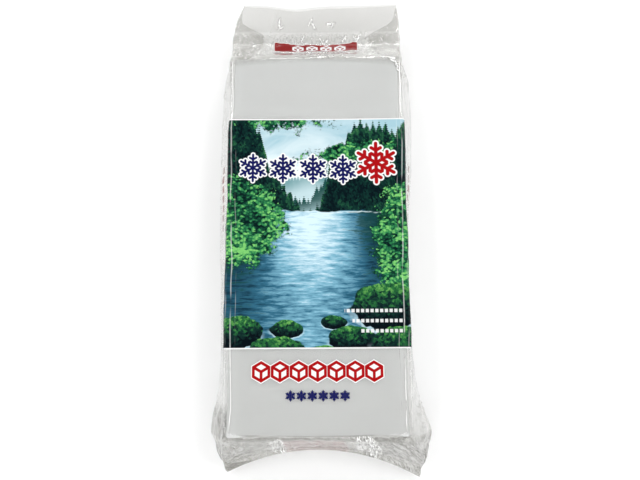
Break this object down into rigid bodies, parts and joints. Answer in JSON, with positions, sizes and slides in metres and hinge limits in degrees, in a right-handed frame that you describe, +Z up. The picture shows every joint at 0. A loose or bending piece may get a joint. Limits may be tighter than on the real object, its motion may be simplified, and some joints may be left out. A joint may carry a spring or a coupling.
{
  "type": "bagged ice block",
  "caption": "Flat rectangular block of clear ice, sealed in a clear printed side-gusset film bag with an open header, lying on its back.",
  "frame": {"origin": "middle of the flat back panel under the block, on the surface that the pack lies on", "axes": "+Z up out of the printed front panel, +Y along the block from the bag's sealed foot to its open header, +X to the right as the front panel is seen"},
  "size_m": [0.1554, 0.3691, 0.0544],
  "materials": {
    "ice": "clear with fine milky streaks, wet and slightly uneven",
    "clear_film": "glossy clear polyethylene film, crinkled at its welds and printed on the front"
  },
  "bodies": {
    "root": {"ice_block": "ice", "film_bag": "clear_film"}
  },
  "joints": []
}
